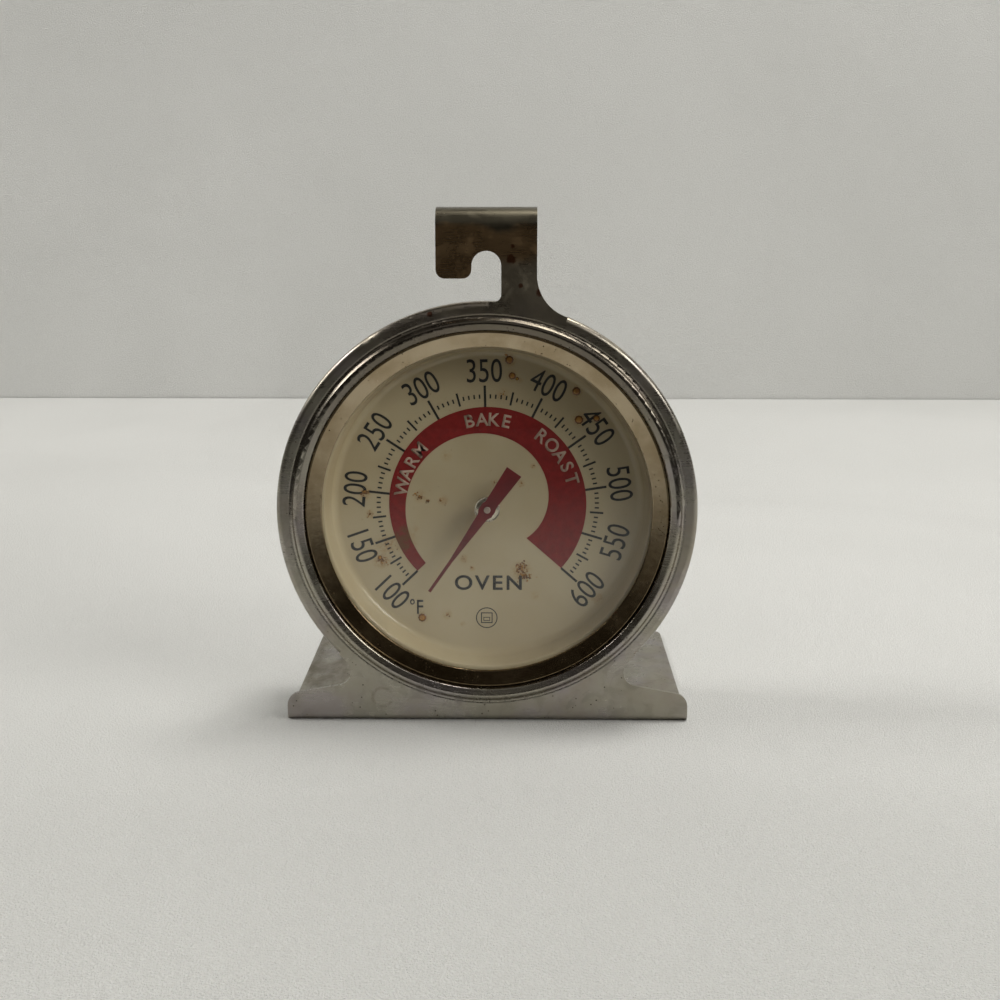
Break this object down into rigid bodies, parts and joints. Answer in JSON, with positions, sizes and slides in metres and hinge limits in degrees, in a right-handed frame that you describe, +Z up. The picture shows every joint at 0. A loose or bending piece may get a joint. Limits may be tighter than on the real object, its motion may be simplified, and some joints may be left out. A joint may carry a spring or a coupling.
{
  "type": "oven thermometer",
  "caption": "Round dial oven thermometer on a stamped steel stand with a hanging tab on top, glass front and a bimetal pointer.",
  "frame": {"origin": "centre of the bounding box on the table under the base plate", "axes": "+Z up, dial faces -Y, +X to the right as seen from the front"},
  "size_m": [0.0732, 0.0537, 0.0899],
  "materials": {
    "stainless_sheet": "rolled stainless sheet, water-stained and heat-tinted towards the top",
    "case_steel": "drawn stainless, satin, a little heat-tinted",
    "tinted_steel": "polished stainless, straw to brown heat tint with small pits",
    "lens_glass": "clear flat glass with baked-on specks",
    "gasket_fibre": "pale heat-proof fibre",
    "dial_enamel": "cream gloss enamel with a printed scale and brown stains",
    "spring_steel": "round-edged spring steel strip",
    "brass": "turned brass, dull",
    "rivet_steel": "turned steel",
    "bimetal": "two-metal strip, satin",
    "pointer_paint": "dark red satin paint on thin sheet",
    "bright_collar": "polished plated collar"
  },
  "bodies": {
    "root": {"stand_frame": "stainless_sheet", "case_cup": "case_steel", "bezel_ring": "tinted_steel", "lens": "lens_glass", "lens_gasket": "gasket_fibre", "dial_pan": "dial_enamel", "dial_spring": "spring_steel", "front_bushing": "brass", "rear_bushing": "brass", "bridge": "case_steel", "bridge_rivets": "rivet_steel", "coil_stud": "rivet_steel", "bimetal_coil": "bimetal"},
    "pointer_assembly": {"pointer": "pointer_paint", "pointer_hub": "bright_collar", "staff": "rivet_steel", "staff_washer": "brass", "coil_collet": "brass"}
  },
  "joints": [
    {"name": "pointer_turn", "type": "hinge", "parent": "root", "child": "pointer_assembly", "pos_m": [0, -0.01795, 0.0378], "axis": [0, 1, 0], "range_deg": [-10, 284], "stiffness_Nm_per_rad": 0.0003}
  ]
}
